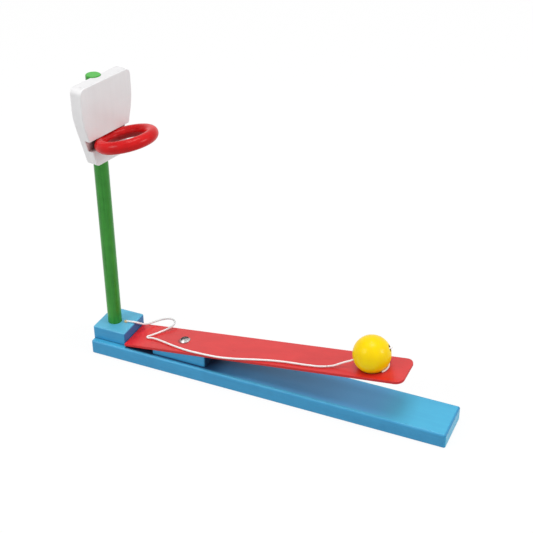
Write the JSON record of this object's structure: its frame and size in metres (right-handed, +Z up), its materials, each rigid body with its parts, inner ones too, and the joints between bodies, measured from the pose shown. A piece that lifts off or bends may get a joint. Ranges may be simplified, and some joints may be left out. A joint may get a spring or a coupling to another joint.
{
  "type": "tabletop_basketball_game",
  "caption": "Painted wooden tabletop basketball toy: a springy strip on a wedge throws a corded ball at a hoop on a post",
  "frame": {"origin": "centre of the base board's underside", "axes": "+X along the base from the post to the throwing end, +Y to the back, +Z up"},
  "size_m": [0.31, 0.0572, 0.2464],
  "materials": {
    "blue_paint": "satin blue paint on wood",
    "green_paint": "satin green paint on a wooden dowel",
    "white_paint": "satin white paint on wood",
    "red_gloss_paint": "gloss red paint on a turned ring",
    "red_paint": "satin red paint on thin plywood",
    "yellow_gloss_paint": "gloss yellow paint on a turned ball",
    "plated_steel": "bright nickel plate",
    "bare_wood": "bare pale wood",
    "white_elastic": "white braided elastic"
  },
  "bodies": {
    "root": {"base_board": "blue_paint", "post_block": "blue_paint", "wedge_block": "blue_paint", "post": "green_paint", "backboard": "white_paint", "hoop_ring": "red_gloss_paint", "launch_strip_root": "red_paint", "cup_washer": "plated_steel", "strip_screw": "plated_steel", "cord_peg": "bare_wood", "cord_loop": "white_elastic"},
    "strip": {"launch_strip_blade": "red_paint", "cord_run": "white_elastic"},
    "ball_body": {"ball": "yellow_gloss_paint", "cord_lead": "white_elastic", "cord_knot": "white_elastic", "cord_tail": "white_elastic"}
  },
  "joints": [
    {"name": "strip_flex", "type": "hinge", "parent": "root", "child": "strip", "pos_m": [-0.0494, 0, 0.0232], "axis": [0, 1, 0], "range_deg": [0, 11.2], "stiffness_Nm_per_rad": 6},
    {"name": "ball_lift", "type": "slide", "parent": "strip", "child": "ball_body", "axis": [-0.1349, 0, 0.9909], "range_m": [0, 0.04]}
  ]
}
